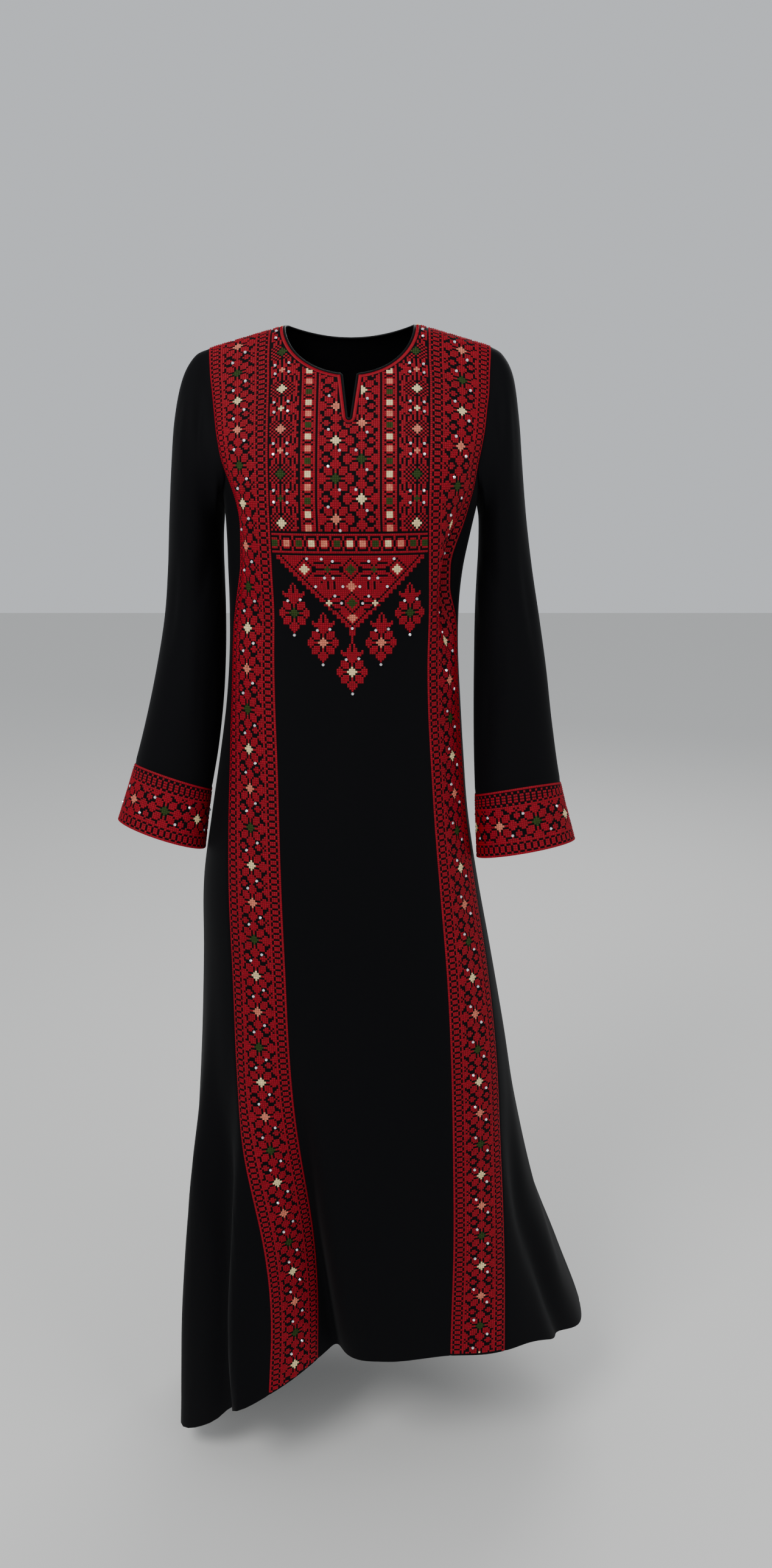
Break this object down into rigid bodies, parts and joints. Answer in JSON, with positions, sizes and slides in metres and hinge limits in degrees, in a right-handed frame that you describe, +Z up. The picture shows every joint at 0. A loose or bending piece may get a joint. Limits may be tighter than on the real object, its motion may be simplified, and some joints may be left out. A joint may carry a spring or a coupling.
{
  "type": "palestinian thobe dress",
  "caption": "Long hollow worn dress with wide sleeves, embroidered chest panel, two full-length embroidered strips and embroidered cuffs.",
  "frame": {"origin": "midway between the two neck ends of the shoulder seams, at their height, where the wearer's shoulders hold the dress", "axes": "+Z up, -Y is the front, +X is the right side as seen from the front"},
  "size_m": [0.6329, 0.4038, 1.4738],
  "materials": {
    "black_crepe": "smooth black crepe with a faint soft sheen",
    "red_embroidery": "dense red cross-stitch in cotton thread on black cloth, with clear rhinestones",
    "black_satin_piping": "thin black satin piping"
  },
  "bodies": {
    "root": {"front_centre": "black_crepe", "back": "black_crepe", "front_side_left": "black_crepe", "front_side_right": "black_crepe", "sleeve_left": "black_crepe", "sleeve_right": "black_crepe", "strip_left": "red_embroidery", "strip_right": "red_embroidery", "cuff_left": "red_embroidery", "cuff_right": "red_embroidery", "neck_piping": "black_satin_piping"}
  },
  "joints": []
}
